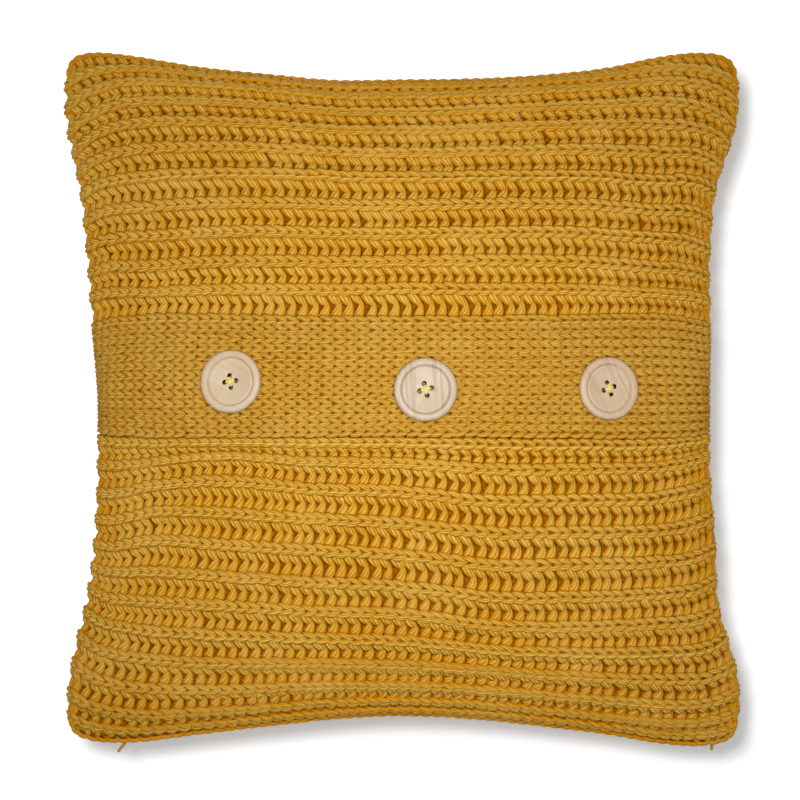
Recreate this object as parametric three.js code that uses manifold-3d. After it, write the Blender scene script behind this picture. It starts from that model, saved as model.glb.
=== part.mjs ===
import * as THREE from 'three';
import { mergeVertices } from 'three/addons/utils/BufferGeometryUtils.js';
import Module from 'manifold-3d';

// Knitted cushion lying on its back, seen from above with its top fold at +Y.
// The cover is one ribbed length, folded at the top and the bottom edge and sewn along both sides.
// Its plain-knit end lies over the lower front as a band with three wooden buttons.
// All sizes are millimetres. A place on the cover has u across (-1 left seam, 1 right seam) and
// v up (-1 bottom fold, 1 top fold); rows of ribs run at constant v and courses at constant u.

// Cushion
const HALF_WIDTH = 222;
const HALF_HEIGHT = 228;
const FRONT_CROWN = 62;
const BACK_CROWN = 51;
const EDGE_ROLL = 6;
const EDGE_ROLL_POWER = 24;
const SEAM_Z = BACK_CROWN + EDGE_ROLL;
const CENTRING = { x: 0.015, y: 0.61 };
const SIDE_CROWN = { power: 2.0, root: 0.8 };
const FOLD_CROWN = { power: 2.5, root: 0.55 };
const BACK_FLATNESS = 2.5;
const BACK_PRESS = 1.03;
const CORNER_INSET = 0.03;
const CORNER_POWER = 22;
const COURSE_SPREAD = { amount: 0.163, power: 1.6, fade: 4 };
const TOP_SPREAD = { amount: 0.163, power: 6, fade: 6 };
const BOTTOM_SPREAD = { amount: 0.163, power: 4, fade: 6 };

// Ribs
const RIB_DEPTH = 4.5;
const RIB_CREST = 0.17;
const RIB_FLOOR = 0.34;
const RIB_SHARE = 0.5;
const TOP_RIBS = { step: -0.073, rows: [0.925, 0.866, 0.796, 0.731, 0.658] };
const UPPER_RIBS = { step: -0.073, rows: [0.586, 0.508, 0.432, 0.357, 0.284] };
const MIDDLE_RIBS = { step: -0.078, rows: [0.202, 0.124, 0.046, -0.032, -0.119] };
const LOWER_RIBS = { step: -0.078, rows: [-0.185, -0.264, -0.344, -0.426, -0.511, -0.59, -0.666] };
const HEM_RIBS = { step: -0.075, rows: [-0.741, -0.819, -0.894, -0.952] };
const SEAM_SCALLOP = 0.35;
const FOLD_MARGIN = 0.01;

// Button band
const BAND_TOP = 0.2125;
const BAND_BOTTOM = -0.107;
const BAND_WALES = 13;
const BAND_THICKNESS = 4;
const BAND_GROOVE = 0.9;
const BAND_END = 0.97;
const BAND_SEAT = { top: -RIB_DEPTH, bottom: 0, rise: 0.75, reach: 0.03 };
const CLEARANCE = 0.4;

// Buttons
const BUTTON_RADIUS = 20;
const BUTTON_THICKNESS = 5;
const BUTTON_SIDES = 32;
const BUTTON_SEAT_GAP = 0.3;
const BUTTON_REACH = 1.2;
const SEAT_STEPS = 12;
const DISH_Z = 0.7 * BUTTON_THICKNESS;
const HOLES = 4;
const HOLE_RADIUS = 1.35;
const HOLE_SIDES = 12;
const HOLE_CIRCLE = 3.8;
const THREAD_RADIUS = 1;
const THREAD_SIDES = 8;
const THREAD_STEPS = 14;
const THREAD_FOOT = 0.1;
const THREAD_CLEARANCE = 0.35;
const THREAD_BEND = 1.2;
const THREAD_CORNER = 0.3 * THREAD_BEND;
const THREAD_CROSSING = 0.9;

// How far each edge is drawn in from the corners, at even stations from -1 to 1 along it
const DRAWN_IN = {
  left: [1.0, 5.0, 14.5, 20.5, 22.5, 23.0, 19.2, 15.8, 11.0, 2.2, 0.0],
  right: [0.0, 2.6, 14.5, 17.0, 20.5, 20.9, 20.0, 20.6, 16.5, 3.5, 0.5],
  top: [0.0, 5.0, 12.0, 16.5, 20.5, 20.2, 19.6, 17.4, 12.8, 4.4, 1.0],
  bottom: [3.0, 3.5, 8.7, 13.8, 18.4, 20.6, 18.6, 14.2, 8.8, 2.0, 0.0],
};

// How far the front's rows lie above level: a line for each even station from the bottom fold to the
// top fold, at even stations from seam to seam
const ROW_SHIFT = [
  [0, 0, 0, 0, 0, 0, 0, 0, 0],
  [10.8, 12.8, 8.2, 3.7, -1.0, -1.3, -0.8, -0.3, -6.5],
  [9.7, 16.4, 13.4, 6.8, 2.2, -2.7, 0.3, 3.9, -2.9],
  [0.6, 14.7, 12.4, 7.5, 2.9, -1.4, 1.2, 2.6, 0.3],
  [-2.0, 8.4, 12.5, 6.9, 4.6, 0.1, 1.7, 3.2, 6.4],
  [-2.0, 8.4, 12.5, 6.9, 4.6, 0.1, 1.7, 3.2, 6.4],
  [0.7, -4.0, -1.3, 0.0, 2.0, -0.5, -2.0, -5.5, -2.0],
  [-0.5, -4.5, -1.5, 0.0, 0.0, 0.5, -1.5, -5.5, -2.0],
  [-2.0, -4.5, -1.0, 1.0, 0.0, 0.0, -2.0, -7.0, 2.0],
  [-8.0, -3.0, 0.5, 0.0, -1.5, 0.0, -0.5, -3.5, -2.0],
  [0, 0, 0, 0, 0, 0, 0, 0, 0],
];
const SHIFT_BELOW_BAND = { from: 0.08, to: 0.24 };
const SHIFT_ABOVE_BAND = { from: 0.2, to: 0.34 };

// From here to the seams the back's rows bend to meet the front's
const BACK_BEND = 0.6;

// Half section of a button from its flat back over the rim and a turned groove to the dish,
// as shares of its radius and thickness
const BUTTON_SECTION = [
  { radius: 0, height: 0 },
  { radius: 0.87, height: 0 },
  { radius: 0.965, height: 0.16 },
  { radius: 1, height: 0.46 },
  { radius: 0.98, height: 0.78 },
  { radius: 0.93, height: 0.95 },
  { radius: 0.86, height: 1 },
  { radius: 0.81, height: 0.94 },
  { radius: 0.775, height: 0.72 },
  { radius: 0.745, height: 0.86 },
  { radius: 0.7, height: 0.8 },
  { radius: 0.55, height: 0.7 },
  { radius: 0, height: 0.7 },
];

// Step of u or v over which a surface's slope is measured
const SLOPE_STEP = 0.004;

// Columns of points across one half, closer together towards the side seam
const COLUMNS = [0, 0.15, 0.3, 0.45, 0.6, 0.73, 0.84, 0.92, 0.97, 1];

// Where the buttons sit, and how far their holes are turned
const BUTTONS = [
  { name: 'left', u: -0.48, v: 0.041, turn: 8 },
  { name: 'middle', u: 0.062, v: 0.021, turn: 14 },
  { name: 'right', u: 0.585, v: 0.0235, turn: 20 },
];

const KNIT_LOOK = { color: 0xc6912f, roughness: 0.95, metalness: 0 };
const WOOD_LOOK = { color: 0xdcc8ab, roughness: 0.55, metalness: 0 };
const THREAD_LOOK = { color: 0xe6cf78, roughness: 0.9, metalness: 0 };

// Points closer than this are one point of a solid
const MERGE_DISTANCE = 1e-4;

const wasm = await Module();
wasm.setup();

// Smooth value at a place between even stations from -1 to 1
function readStations(values, at) {
  const last = values.length - 1;
  const place = THREE.MathUtils.clamp((at + 1) / 2 * last, 0, last);
  const station = Math.min(Math.floor(place), last - 1);
  const value = (i) => values[THREE.MathUtils.clamp(i, 0, last)];
  const t = place - station;
  const slopeStart = (value(station + 1) - value(station - 1)) / 2;
  const slopeEnd = (value(station + 2) - value(station)) / 2;
  const blend = t * t * (3 - 2 * t);
  const bends = slopeStart * t * (1 - t) * (1 - t) + slopeEnd * t * t * (t - 1);
  return value(station) * (1 - blend) + value(station + 1) * blend + bends;
}

// Even rows or courses spread apart over the crown and closed up towards the edge
function spread(place, { amount, power, fade }, other) {
  const share = amount * (1 - Math.abs(other) ** fade);
  return place * (1 + share - share * Math.abs(place) ** power);
}

// Place on the plan: the square of u and v with drawn-in edges and rounded corners
function planPoint(u, v) {
  const across = spread(u, COURSE_SPREAD, v);
  const up = spread(v, v < 0 ? BOTTOM_SPREAD : TOP_SPREAD, u);
  const roundX = 1 - CORNER_INSET * across ** 2 * Math.abs(up) ** CORNER_POWER;
  const roundY = 1 - CORNER_INSET * up ** 2 * Math.abs(across) ** CORNER_POWER;
  const width = HALF_WIDTH - readStations(u < 0 ? DRAWN_IN.left : DRAWN_IN.right, up);
  const height = HALF_HEIGHT - readStations(v < 0 ? DRAWN_IN.bottom : DRAWN_IN.top, across);
  return { across, up, x: across * width * roundX, y: up * height * roundY };
}

// Share of the full crown over a place on the plan
function crownShare({ across, up }) {
  const side = Math.max(0, 1 - Math.abs(across) ** SIDE_CROWN.power) ** SIDE_CROWN.root;
  const fold = Math.max(0, 1 - Math.abs(up) ** FOLD_CROWN.power) ** FOLD_CROWN.root;
  return side * fold;
}

// Place v to which the front's rows shift along the cover, beyond the band
function shiftedRow(u, v) {
  const { from, to } = v < 0 ? SHIFT_BELOW_BAND : SHIFT_ABOVE_BAND;
  const lines = ROW_SHIFT.map((line) => readStations(line, u));
  const shift = THREE.MathUtils.smoothstep(Math.abs(v), from, to) * readStations(lines, v);
  return v + shift / HALF_HEIGHT;
}

// Place v of the back's rows, which are level and bend to meet the front's at the seams
function backRow(u, v) {
  const bend = THREE.MathUtils.smoothstep(Math.abs(u), BACK_BEND, 1);
  return THREE.MathUtils.lerp(v, shiftedRow(Math.sign(u), v), bend);
}

// Share of the full roundness of the seams and folds, reached close to the edge
function rollShare({ across, up }) {
  const side = Math.max(0, 1 - Math.abs(across) ** EDGE_ROLL_POWER);
  const fold = Math.max(0, 1 - Math.abs(up) ** EDGE_ROLL_POWER);
  return Math.sqrt(side * fold);
}

function frontPoint(u, v) {
  const plan = planPoint(u, shiftedRow(u, v));
  const rise = FRONT_CROWN * crownShare(plan) + EDGE_ROLL * rollShare(plan);
  return new THREE.Vector3(plan.x, plan.y, SEAM_Z + rise);
}

function backPoint(u, v) {
  const plan = planPoint(u, backRow(u, v));
  const pressed = BACK_PRESS * (1 - (1 - crownShare(plan)) ** BACK_FLATNESS);
  const drop = BACK_CROWN * pressed + EDGE_ROLL * rollShare(plan);
  return new THREE.Vector3(plan.x, plan.y, SEAM_Z - drop);
}

// Outward direction of a surface given by u and v, whose front faces up
function outward(surface, u, v, facing) {
  const left = surface(Math.max(-1, u - SLOPE_STEP), v);
  const right = surface(Math.min(1, u + SLOPE_STEP), v);
  const below = surface(u, Math.max(-1, v - SLOPE_STEP));
  const above = surface(u, Math.min(1, v + SLOPE_STEP));
  const across = right.sub(left);
  const up = above.sub(below);
  return across.cross(up).normalize().multiplyScalar(facing);
}

// Level direction away from the cushion on its seam and folds
function awayFromEdge(u, v) {
  const onSeam = Math.abs(u) === 1;
  const onFold = Math.abs(v) === 1;
  if (onSeam && onFold) {
    return new THREE.Vector3(u, v, 0).normalize();
  }
  const stepU = onFold ? SLOPE_STEP : 0;
  const stepV = onSeam ? SLOPE_STEP : 0;
  const from = planPoint(u - stepU, v - stepV);
  const to = planPoint(u + stepU, v + stepV);
  const along = new THREE.Vector3(to.x - from.x, to.y - from.y, 0);
  const away = new THREE.Vector3(along.y, -along.x, 0).normalize();
  return away.dot(new THREE.Vector3(from.x, from.y, 0)) < 0 ? away.negate() : away;
}

// Level of the body under the band, falling from its free edge to the last upper rib
function bandSeat(v) {
  const share = THREE.MathUtils.clamp((v - BAND_BOTTOM) / (BAND_TOP - BAND_BOTTOM), 0, 1);
  const fall = THREE.MathUtils.smoothstep(share, 1 - BAND_SEAT.rise, 1);
  return THREE.MathUtils.lerp(BAND_SEAT.bottom, BAND_SEAT.top, fall);
}

// Rows of points over the ribs from the top fold to the bottom fold, with their relief
function ribRows() {
  const rows = [{ v: 1, front: 0, back: 0 }];
  for (const ribs of [TOP_RIBS, UPPER_RIBS, MIDDLE_RIBS, LOWER_RIBS, HEM_RIBS]) {
    for (const centre of ribs.rows) {
      for (const [offset, relief] of [
        [-RIB_FLOOR, -RIB_DEPTH], [-RIB_CREST, 0], [RIB_CREST, 0], [RIB_FLOOR, -RIB_DEPTH],
      ]) {
        const v = centre + offset * ribs.step;
        const covered = v < BAND_TOP + BAND_SEAT.reach && v > BAND_BOTTOM;
        if (Math.abs(v) < 1 - FOLD_MARGIN) {
          rows.push({ v, front: covered ? bandSeat(v) : relief, back: relief });
        }
      }
    }
  }
  rows.push({ v: -1, front: 0, back: 0 });
  return rows;
}

// Columns of points from the left seam to the right seam
function columns() {
  const left = COLUMNS.slice(1).reverse().map((u) => -u);
  return [...left, ...COLUMNS];
}

function makeMesh(name, geometry, look) {
  const mesh = new THREE.Mesh(geometry, new THREE.MeshStandardMaterial(look));
  mesh.name = name;
  return mesh;
}

function makeGeometry(points, triangles) {
  const geometry = new THREE.BufferGeometry();
  geometry.setAttribute('position', new THREE.Float32BufferAttribute(points.flatMap((p) => p.toArray()), 3));
  geometry.setIndex(triangles.flat());
  geometry.computeVertexNormals();
  return geometry;
}

// Two triangles on four corners given counter-clockwise as seen from outside
function quad(a, b, c, d) {
  return [[a, b, c], [a, c, d]];
}

// Place on a sheet with the ribs' relief, which is at most a share of the rise over the seams
function reliefPoint(surface, facing, u, v, relief) {
  const point = surface(u, v);
  const depth = Math.min(-relief, RIB_SHARE * Math.abs(point.z - SEAM_Z));
  return point.addScaledVector(outward(surface, u, v, facing), -depth);
}

// The filled cover: a front and a back sheet of points that share the seams and folds
function makeBody() {
  const rows = ribRows();
  const across = columns();
  const points = [];
  const add = (point) => points.push(point) - 1;
  const front = rows.map(({ v, front: relief }) => across.map((u) => {
    if (Math.abs(u) === 1 || Math.abs(v) === 1) {
      const row = shiftedRow(u, v);
      const plan = planPoint(u, row);
      const edge = new THREE.Vector3(plan.x, plan.y, SEAM_Z);
      return add(edge.addScaledVector(awayFromEdge(u, row), relief * SEAM_SCALLOP));
    }
    return add(reliefPoint(frontPoint, 1, u, v, relief));
  }));
  const back = rows.map(({ v, back: relief }, row) => across.map((u, column) => {
    if (Math.abs(u) === 1 || Math.abs(v) === 1) {
      return front[row][column];
    }
    const point = reliefPoint(backPoint, -1, u, v, relief);
    const floor = relief < 0 ? -relief : 0;
    return add(point.setZ(Math.max(point.z, floor)));
  }));
  const triangles = [];
  for (let row = 0; row + 1 < rows.length; row += 1) {
    for (let column = 0; column + 1 < across.length; column += 1) {
      const ring = (sheet) => [
        sheet[row + 1][column], sheet[row + 1][column + 1], sheet[row][column + 1], sheet[row][column],
      ];
      triangles.push(...quad(...ring(front)));
      triangles.push(...quad(...ring(back).reverse()));
    }
  }
  return makeMesh('cushion_body', makeGeometry(points, triangles), KNIT_LOOK);
}

// Point at a level above or below the front's rib crests
function levelPoint(u, v, level) {
  return frontPoint(u, v).addScaledVector(outward(frontPoint, u, v, 1), level);
}

function bandTop(u, v) {
  return levelPoint(u, v, bandSeat(v) + CLEARANCE + BAND_THICKNESS);
}

// The band: a curved sheet on its seat, with the wales of its plain knit raised
function makeBand() {
  const across = columns().filter((u) => Math.abs(u) <= BAND_END);
  const halfWales = BAND_WALES * 2;
  const points = [];
  const add = (point) => points.push(point) - 1;
  const upper = [];
  const under = [];
  for (let half = 0; half <= halfWales; half += 1) {
    const v = THREE.MathUtils.lerp(BAND_TOP, BAND_BOTTOM, half / halfWales);
    const seat = bandSeat(v) + CLEARANCE;
    const groove = half % 2 === 0 ? BAND_GROOVE : 0;
    upper.push(across.map((u) => add(levelPoint(u, v, seat + BAND_THICKNESS - groove))));
    under.push(across.map((u) => add(levelPoint(u, v, seat))));
  }
  const last = across.length - 1;
  const triangles = [];
  for (let row = 0; row < halfWales; row += 1) {
    for (let column = 0; column < last; column += 1) {
      const ring = (sheet) => [
        sheet[row + 1][column], sheet[row + 1][column + 1], sheet[row][column + 1], sheet[row][column],
      ];
      triangles.push(...quad(...ring(upper)));
      triangles.push(...quad(...ring(under).reverse()));
    }
    triangles.push(...quad(under[row][0], under[row + 1][0], upper[row + 1][0], upper[row][0]));
    triangles.push(...quad(under[row + 1][last], under[row][last], upper[row][last], upper[row + 1][last]));
  }
  for (let column = 0; column < last; column += 1) {
    const next = column + 1;
    triangles.push(...quad(under[0][next], under[0][column], upper[0][column], upper[0][next]));
    const end = halfWales;
    triangles.push(...quad(under[end][column], under[end][next], upper[end][next], upper[end][column]));
  }
  return makeMesh('button_band', makeGeometry(points, triangles), KNIT_LOOK);
}

// Closed geometry as a solid for joining and cutting
function toSolid(geometry) {
  const bare = geometry.clone();
  bare.deleteAttribute('normal');
  bare.deleteAttribute('uv');
  const merged = mergeVertices(bare, MERGE_DISTANCE);
  const vertProperties = new Float32Array(merged.attributes.position.array);
  const triVerts = new Uint32Array(merged.index.array);
  return new wasm.Manifold(new wasm.Mesh({ numProp: 3, vertProperties, triVerts }));
}

function fromSolid(solid) {
  const { vertProperties, triVerts } = solid.getMesh();
  const geometry = new THREE.BufferGeometry();
  geometry.setAttribute('position', new THREE.BufferAttribute(vertProperties, 3));
  geometry.setIndex(new THREE.BufferAttribute(triVerts, 1));
  geometry.computeVertexNormals();
  return geometry;
}

// A turned button, upright on its back, with holes on a circle
function makeButtonGeometry() {
  const section = BUTTON_SECTION.map(({ radius, height }) => (
    new THREE.Vector2(radius * BUTTON_RADIUS, height * BUTTON_THICKNESS)
  ));
  let solid = toSolid(new THREE.LatheGeometry(section, BUTTON_SIDES).rotateX(Math.PI / 2));
  for (let hole = 0; hole < HOLES; hole += 1) {
    const drill = new THREE.CylinderGeometry(HOLE_RADIUS, HOLE_RADIUS, 3 * BUTTON_THICKNESS, HOLE_SIDES);
    const angle = hole * 2 * Math.PI / HOLES;
    drill.rotateX(Math.PI / 2);
    drill.translate(HOLE_CIRCLE * Math.cos(angle), HOLE_CIRCLE * Math.sin(angle), 0);
    solid = solid.subtract(toSolid(drill));
  }
  return fromSolid(solid);
}

// One strand of thread: up through a hole, over the dish and down through the opposite hole
function strandPath(crossing) {
  const level = DISH_Z + THREAD_RADIUS + THREAD_CLEARANCE;
  const side = [
    [HOLE_CIRCLE, THREAD_FOOT],
    [HOLE_CIRCLE, level - THREAD_BEND],
    [HOLE_CIRCLE - THREAD_CORNER, level - THREAD_CORNER],
    [HOLE_CIRCLE - THREAD_BEND, level],
  ];
  const ends = [1, -1].map((sign) => side.map(([x, z]) => new THREE.Vector3(sign * x, 0, z)));
  const middle = new THREE.Vector3(0, 0, level + crossing);
  return new THREE.CatmullRomCurve3([...ends[0], middle, ...ends[1].reverse()]);
}

// Two strands crossing over the middle of a button
function makeThreadGeometry() {
  const outline = new THREE.Shape();
  outline.absarc(0, 0, THREAD_RADIUS, 0, 2 * Math.PI, false);
  const strand = (crossing, turn) => {
    const settings = {
      steps: THREAD_STEPS,
      curveSegments: THREAD_SIDES / 2,
      extrudePath: strandPath(crossing),
    };
    return toSolid(new THREE.ExtrudeGeometry(outline, settings).rotateZ(turn));
  };
  return fromSolid(strand(0, 0).add(strand(THREAD_CROSSING, Math.PI / 2)));
}

// Height of the band's top above a plane within a button's reach, over a grid of places
function highestUnderButton({ u, v }, centre, normal) {
  const reachU = BUTTON_REACH * BUTTON_RADIUS / HALF_WIDTH;
  const reachV = BUTTON_REACH * BUTTON_RADIUS / HALF_HEIGHT;
  let highest = 0;
  for (let i = -SEAT_STEPS; i <= SEAT_STEPS; i += 1) {
    for (let j = -SEAT_STEPS; j <= SEAT_STEPS; j += 1) {
      const place = bandTop(u + reachU * i / SEAT_STEPS, v + reachV * j / SEAT_STEPS).sub(centre);
      const height = place.dot(normal);
      const radius = Math.sqrt(Math.max(0, place.lengthSq() - height * height));
      highest = radius < BUTTON_RADIUS ? Math.max(highest, height) : highest;
    }
  }
  return highest;
}

// A button and its thread, square to the band where they sit
function makeButton(place) {
  const centre = bandTop(place.u, place.v);
  const normal = outward(bandTop, place.u, place.v, 1);
  const rise = highestUnderButton(place, centre, normal) + BUTTON_SEAT_GAP;
  const group = new THREE.Group();
  group.add(makeMesh(`button_${place.name}`, makeButtonGeometry(), WOOD_LOOK));
  group.add(makeMesh(`button_thread_${place.name}`, makeThreadGeometry(), THREAD_LOOK));
  const upright = new THREE.Vector3(0, 0, 1);
  group.quaternion.setFromUnitVectors(upright, normal);
  group.rotateZ(THREE.MathUtils.degToRad(place.turn));
  group.position.copy(centre).addScaledVector(normal, rise);
  return group;
}

// The uneven outline's box is centred on the origin
const cushion = new THREE.Group();
cushion.position.set(CENTRING.x, CENTRING.y, 0);
cushion.add(makeBody());
cushion.add(makeBand());
cushion.add(...BUTTONS.map(makeButton));

export default cushion;
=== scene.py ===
"""Looks of a filled cushion in chunky ribbed knit, with a plain-knit band closed by wooden buttons.

The cushion lies on its back with its top fold at +Y. A place on the cover has u across, from -1 at
the left seam to 1 at the right one, and v up, from -1 at the bottom fold to 1 at the top fold. Rows
of ribs run at constant v. A course is one strand of yarn at constant u that makes a stitch on each
rib and dips into the hollow before the next one. All sizes are metres.
"""

import math

import bpy
import numpy as np
from mathutils import Matrix, Vector


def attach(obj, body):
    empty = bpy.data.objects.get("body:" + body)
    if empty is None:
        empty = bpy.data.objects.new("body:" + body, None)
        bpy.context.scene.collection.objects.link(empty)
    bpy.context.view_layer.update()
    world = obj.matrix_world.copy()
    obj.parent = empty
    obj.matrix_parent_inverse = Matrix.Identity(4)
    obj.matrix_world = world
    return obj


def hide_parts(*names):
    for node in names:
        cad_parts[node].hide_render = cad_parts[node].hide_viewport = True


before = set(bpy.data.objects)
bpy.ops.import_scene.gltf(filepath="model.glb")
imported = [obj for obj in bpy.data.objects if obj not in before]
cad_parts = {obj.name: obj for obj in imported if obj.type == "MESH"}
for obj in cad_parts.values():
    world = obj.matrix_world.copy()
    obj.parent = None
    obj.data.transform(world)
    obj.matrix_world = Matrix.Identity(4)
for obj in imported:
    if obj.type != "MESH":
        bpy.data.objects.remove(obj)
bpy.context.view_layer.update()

bl_info = {
    "name": "Knitted cushion",
    "version": (1, 0, 0),
    "blender": (4, 5, 0),
    "location": "3D View > Sidebar > Cushion",
    "description": "Makes a ribbed knitted cushion with a buttoned band from its yarn",
    "category": "Object",
}

MM = 0.001
TURN = 2.0 * math.pi
UPRIGHT = (0.0, 0.0, 1.0)
# Order of a face's corners that turns it over
OTHER_WAY = (0, 3, 2, 1)

# How far each edge is drawn in from the corners (mm), at even stations from -1 to 1 along it
DRAWN_IN = {
    "left": (1.0, 5.0, 14.5, 20.5, 22.5, 23.0, 19.2, 15.8, 11.0, 2.2, 0.0),
    "right": (0.0, 2.6, 14.5, 17.0, 20.5, 20.9, 20.0, 20.6, 16.5, 3.5, 0.5),
    "top": (0.0, 5.0, 12.0, 16.5, 20.5, 20.2, 19.6, 17.4, 12.8, 4.4, 1.0),
    "bottom": (3.0, 3.5, 8.7, 13.8, 18.4, 20.6, 18.6, 14.2, 8.8, 2.0, 0.0),
}
# How far the front's rows lie above level (mm): a line for each even station from the bottom fold to
# the top fold, at even stations from seam to seam
ROW_SHIFT = (
    (0.0, 0.0, 0.0, 0.0, 0.0, 0.0, 0.0, 0.0, 0.0),
    (10.8, 12.8, 8.2, 3.7, -1.0, -1.3, -0.8, -0.3, -6.5),
    (9.7, 16.4, 13.4, 6.8, 2.2, -2.7, 0.3, 3.9, -2.9),
    (0.6, 14.7, 12.4, 7.5, 2.9, -1.4, 1.2, 2.6, 0.3),
    (-2.0, 8.4, 12.5, 6.9, 4.6, 0.1, 1.7, 3.2, 6.4),
    (-2.0, 8.4, 12.5, 6.9, 4.6, 0.1, 1.7, 3.2, 6.4),
    (0.7, -4.0, -1.3, 0.0, 2.0, -0.5, -2.0, -5.5, -2.0),
    (-0.5, -4.5, -1.5, 0.0, 0.0, 0.5, -1.5, -5.5, -2.0),
    (-2.0, -4.5, -1.0, 1.0, 0.0, 0.0, -2.0, -7.0, 2.0),
    (-8.0, -3.0, 0.5, 0.0, -1.5, 0.0, -0.5, -3.5, -2.0),
    (0.0, 0.0, 0.0, 0.0, 0.0, 0.0, 0.0, 0.0, 0.0),
)
# Distances from the middle over which that shift sets in below and above the band
SHIFT_BELOW_BAND, SHIFT_ABOVE_BAND = (0.08, 0.24), (0.20, 0.34)
BACK_BEND = 0.6

# Share, power and fade of how courses and rows spread over the crown
COURSE_SPREAD = (0.163, 1.6, 4.0)
TOP_SPREAD = (0.163, 6.0, 6.0)
BOTTOM_SPREAD = (0.163, 4.0, 6.0)
SIDE_CROWN, FOLD_CROWN = (2.0, 0.8), (2.5, 0.55)
EDGE_ROLL_POWER = 24.0
BACK_FLATNESS, BACK_PRESS = 2.5, 1.03
CORNER_INSET, CORNER_POWER = 0.03, 22.0
CENTRING = (0.015 * MM, 0.61 * MM)
SLOPE_STEP = 0.004
# Row whose length spaces the courses, points along it, and where courses close up beside the seams
COURSE_ROW, COURSE_STATIONS, SEAM_START, SEAM_ROOM = 0.45, 801, 0.98, 0.018

# Places v of the ribs, from the top fold down to the bottom fold
TOP_FOLD, BOTTOM_FOLD = 1.0, -1.0
UPPER_RIBS = (0.925, 0.866, 0.796, 0.731, 0.658, 0.586, 0.508, 0.432, 0.357, 0.284)
LOWER_RIBS = (-0.119, -0.185, -0.264, -0.344, -0.426, -0.511, -0.590)
HEM_RIBS = (-0.666, -0.741, -0.819, -0.894, -0.952)
HIDDEN_RIBS = (0.202, 0.124, 0.046, -0.032)
FRONT_ROWS = (TOP_FOLD, *UPPER_RIBS, *LOWER_RIBS, *HEM_RIBS, BOTTOM_FOLD)
BACK_ROWS = (*UPPER_RIBS, *HIDDEN_RIBS, *LOWER_RIBS, *HEM_RIBS)
# Ribs in the uppermost panel, distances from a rib over which the filling sinks, and hollows' widths
TOP_RIBS, FILLING_RIB, NARROW_HOLLOW, FULL_HOLLOW = 5, (0.008, 0.028), 0.016, 0.044

BAND_TOP, BAND_BOTTOM, BAND_EDGE, BAND_WALES, BAND_END = 0.2125, -0.107, -0.099, 13, 0.985
# Level of the cover at the band's upper edge and under the rest of it, and where the band comes down
BAND_SEAT, BAND_SEAT_RISE, BAND_END_FALL = (-4.5 * MM, 0.0), 0.75, (0.93, 1.0)
CLEARANCE, BAND_THICKNESS = 0.4 * MM, 4.0 * MM
BAND_LAYERS = (0.1 * MM, 0.2 * BAND_THICKNESS)
BAND_GRID = (97, 29)

# One stitch: place along the row in courses, place across in widths of the stitch's column,
# depth below the crest (mm), share of the yarn's radius. The second half mirrors the first.
RIB_STITCH = (
    (0.48, 0.10, 3.2, 0.84),
    (-0.02, 0.30, 1.45, 1.12),
    (-0.56, 0.44, 2.7, 0.94),
    (-0.92, 0.0, 5.0, 0.84),
)
BAND_STITCH = (
    (0.47, 0.095, 3.1, 0.74),
    (-0.03, 0.275, 1.4, 0.98),
    (-0.55, 0.41, 2.6, 0.80),
    (-0.92, 0.0, 4.4, 0.74),
)
EDGE_STITCH = (
    (0.48, 0.09, 2.4, 0.80),
    (-0.02, 0.29, 1.6, 1.0),
    (-0.56, 0.43, 2.1, 0.9),
    (-0.92, 0.0, 4.2, 0.8),
)
MIRROR = (1.0, -1.0, 1.0, 1.0)
# The strand between two ribs: along in courses, share of the way to the next rib, depth, radius
HOLLOW_STRAND = (
    (0.16, -0.08, 5.0, 1.25),
    (0.36, 0.08, 4.3, 1.62),
    (0.70, 0.26, 4.2, 1.66),
    (0.98, 0.43, 5.6, 1.20),
    (0.98, 0.60, 5.2, 1.46),
    (0.86, 0.79, 5.2, 1.86),
    (0.68, 0.97, 5.6, 1.92),
    (0.50, 1.10, 5.6, 1.30),
)
BAND_LINK = ((0.55, 0.5, 3.2, 1.41),)
# Waves by which courses drift: size in courses, waves across and up, start
DRIFT = ((0.35, 2.3, 5.1, 0.4), (0.22, 4.7, -9.0, 1.9), (0.16, 3.1, 11.0, 0.0))
# How far a stitch strays across its rib and in depth, for each course that it may stray along it
ROW_STRAY, DEPTH_STRAY = 0.8, 4.0 * MM
# A strand's width and height as shares of its round thickness
STRAND_WIDE, STRAND_TALL = 1.14, 0.84
# Share of a stitch's depth that is left at the edge beyond the room there, and how near a fold it goes
EDGE_FLAT, FOLD_LIMIT = 0.2, 0.992
# Spacing of courses at which yarn has its full thickness, and the shares that it is held to
OPEN_COURSE, OPEN_RANGE = 7.0 * MM, (0.45, 1.1)
# Steps and sides of the strands on the back, which are plainer
BACK_STRAND = (1, 4)
BAND_SEED, EDGE_SEED = 11, 21
EDGE_PITCH, EDGE_WIDTH, SEAM_INSET = 7.0 * MM, 7.2 * MM, 3.5 * MM
SEAM_INSET_RISE = (0.02, 0.12)
# Place u, sideways lean and length of the cut ends at the bottom fold
LOOSE_ENDS = ((-0.835, -0.75, 6.0 * MM), (0.935, -0.1, 3.5 * MM))
LOOSE_ROOT, LOOSE_RUN, LOOSE_SINK, LOOSE_TAPER = -4.0 * MM, (0.0, 0.45, 0.8, 1.0), 0.3, (0.75, 0.5)

# Half section of a button from its back over the rim and the turned groove to the dish, as shares of
# its radius and thickness
BUTTON_SECTION = (
    (0.0, 0.0), (0.87, 0.0), (0.965, 0.16), (1.0, 0.46), (0.98, 0.78), (0.93, 0.95), (0.86, 1.0),
    (0.80, 0.97), (0.76, 0.80), (0.74, 0.68), (0.715, 0.77), (0.67, 0.78), (0.55, 0.70), (0.0, 0.70),
)
DISH = BUTTON_SECTION[-1][1]
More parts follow.
